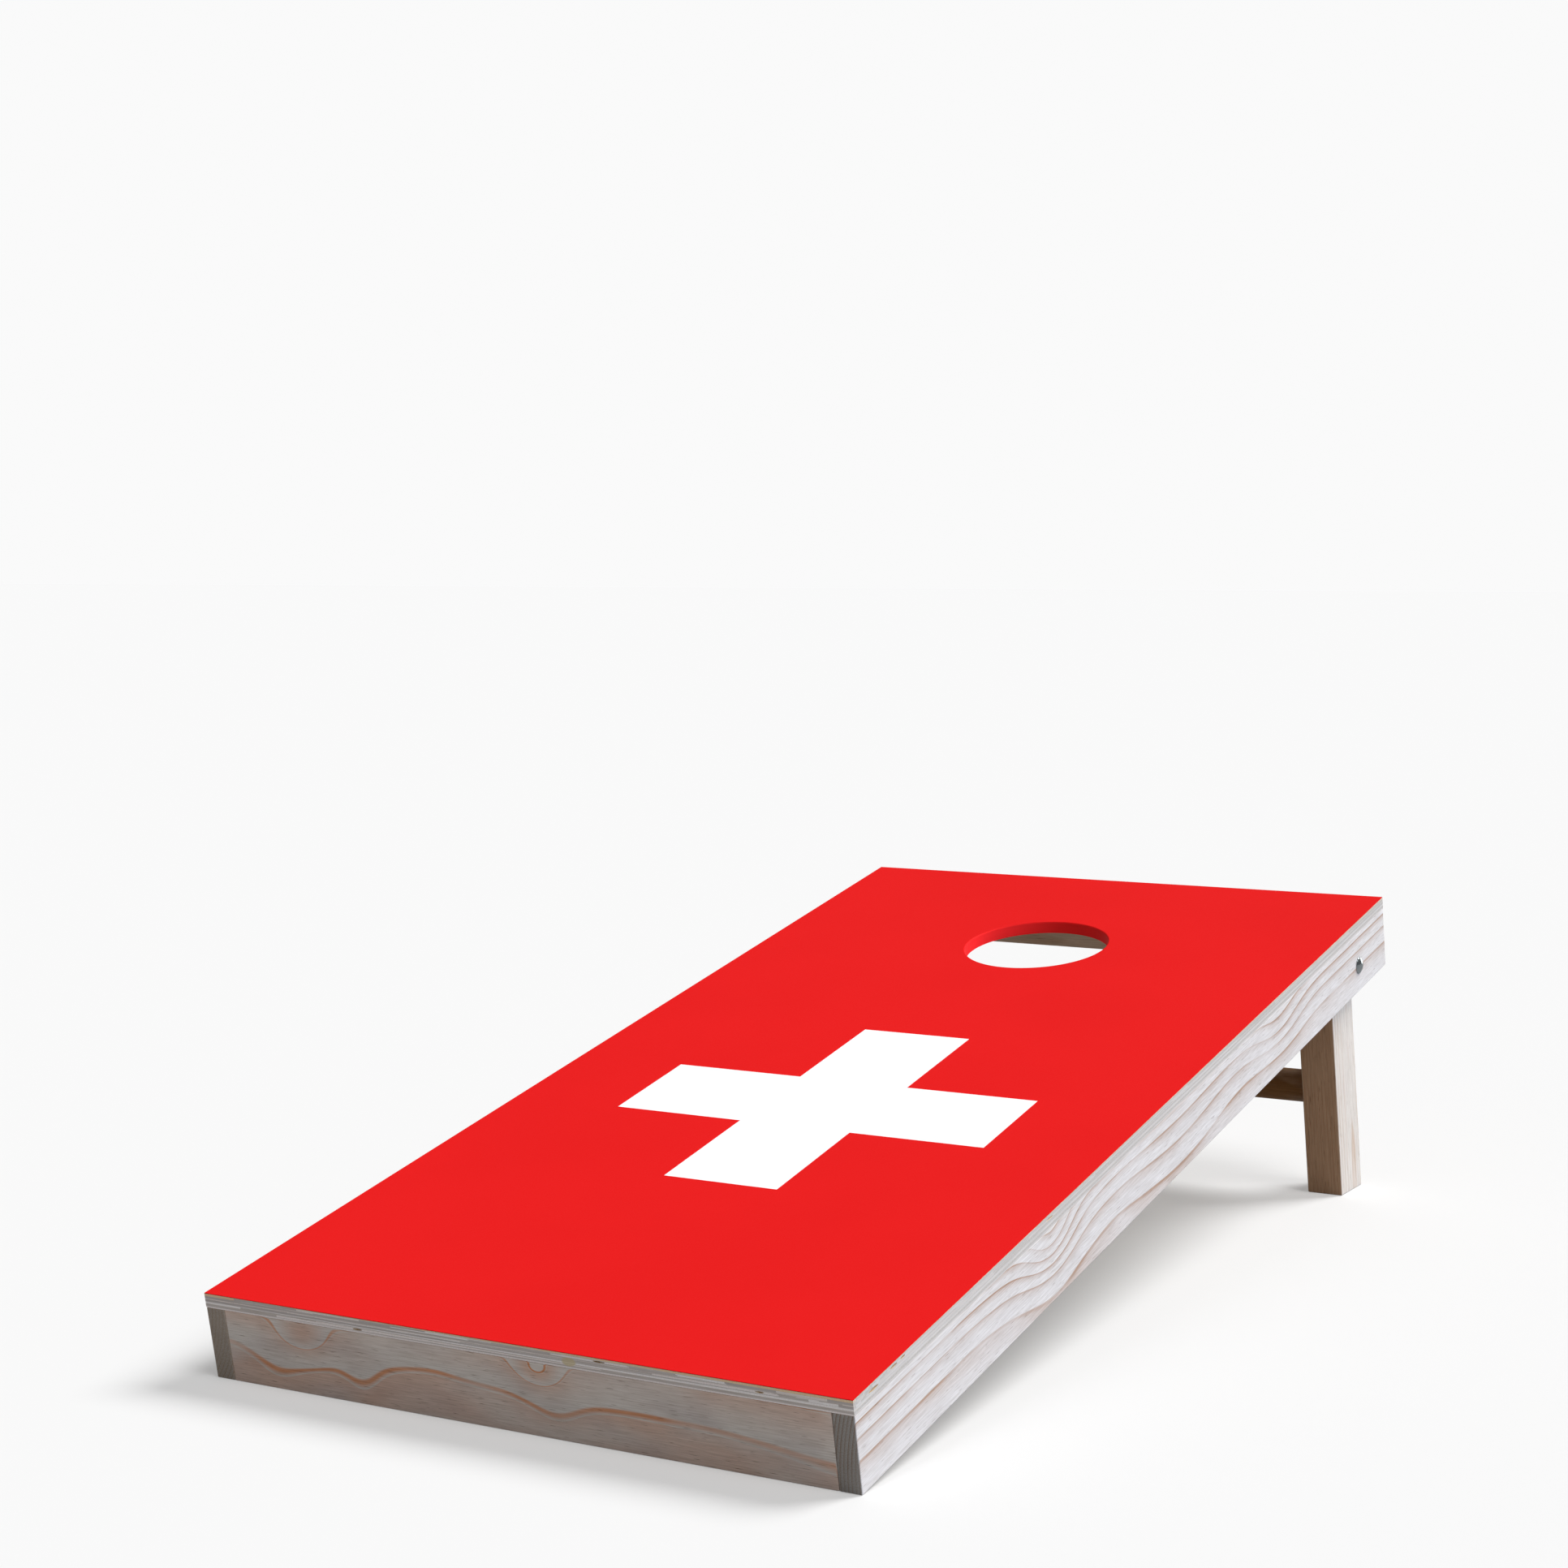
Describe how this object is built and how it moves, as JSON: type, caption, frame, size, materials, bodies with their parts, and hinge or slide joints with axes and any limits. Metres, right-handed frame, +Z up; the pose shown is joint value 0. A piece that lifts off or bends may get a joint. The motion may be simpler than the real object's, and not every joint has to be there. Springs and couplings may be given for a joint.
{
  "type": "cornhole board",
  "caption": "Sloped bean-bag toss board: a plywood deck with a round hole on a pine frame, red with a white cross, on hinged legs that fold flat underneath.",
  "frame": {"origin": "on the ground at the centre of the board's footprint box, legs open", "axes": "+X to the right of the thrower standing in front of the low end, +Y away from the thrower to the raised end with the hole, +Z up"},
  "size_m": [0.6186, 1.21, 0.3175],
  "materials": {
    "birch_plywood": "bare sanded veneer, sawn edges with visible plies",
    "pine_lumber": "bare planed pine with tan latewood lines and small knots",
    "hardwood_dowel": "bare turned rod",
    "red_vinyl": "laminated matt print film, flat red",
    "white_vinyl": "laminated matt print film, white",
    "zinc_steel": "bright zinc plating",
    "nylon": "natural moulded nylon"
  },
  "bodies": {
    "board": {"back_rail": "pine_lumber", "centre_brace": "pine_lumber", "deck_film": "red_vinyl", "deck_film_cross": "white_vinyl", "deck_panel": "birch_plywood", "deck_screw_back_left": "zinc_steel", "deck_screw_back_right": "zinc_steel", "deck_screw_centre_left": "zinc_steel", "deck_screw_centre_right": "zinc_steel", "deck_screw_front_left": "zinc_steel", "deck_screw_front_right": "zinc_steel", "deck_screw_side_left_1": "zinc_steel", "deck_screw_side_left_2": "zinc_steel", "deck_screw_side_left_3": "zinc_steel", "deck_screw_side_left_4": "zinc_steel", "deck_screw_side_right_1": "zinc_steel", "deck_screw_side_right_2": "zinc_steel", "deck_screw_side_right_3": "zinc_steel", "deck_screw_side_right_4": "zinc_steel", "frame_screw_back_left_1": "zinc_steel", "frame_screw_back_left_2": "zinc_steel", "frame_screw_back_right_1": "zinc_steel", "frame_screw_back_right_2": "zinc_steel", "frame_screw_centre_left_1": "zinc_steel", "frame_screw_centre_left_2": "zinc_steel", "frame_screw_centre_right_1": "zinc_steel", "frame_screw_centre_right_2": "zinc_steel", "frame_screw_front_left_1": "zinc_steel", "frame_screw_front_left_2": "zinc_steel", "frame_screw_front_right_1": "zinc_steel", "frame_screw_front_right_2": "zinc_steel", "front_rail": "pine_lumber", "leg_spacer_left": "nylon", "leg_spacer_right": "nylon", "lock_nut_left": "zinc_steel", "lock_nut_right": "zinc_steel", "nut_insert_left": "nylon", "nut_insert_right": "nylon", "pivot_bolt_left": "zinc_steel", "pivot_bolt_right": "zinc_steel", "pivot_washer_left": "zinc_steel", "pivot_washer_right": "zinc_steel", "side_rail_left": "pine_lumber", "side_rail_right": "pine_lumber"},
    "legs": {"leg_left": "pine_lumber", "leg_right": "pine_lumber", "leg_dowel": "hardwood_dowel"}
  },
  "joints": [
    {"name": "leg_fold", "type": "hinge", "parent": "board", "child": "legs", "pos_m": [0, 0.51418, 0.25276], "axis": [-1, 0, 0], "range_deg": [0, 90]}
  ]
}
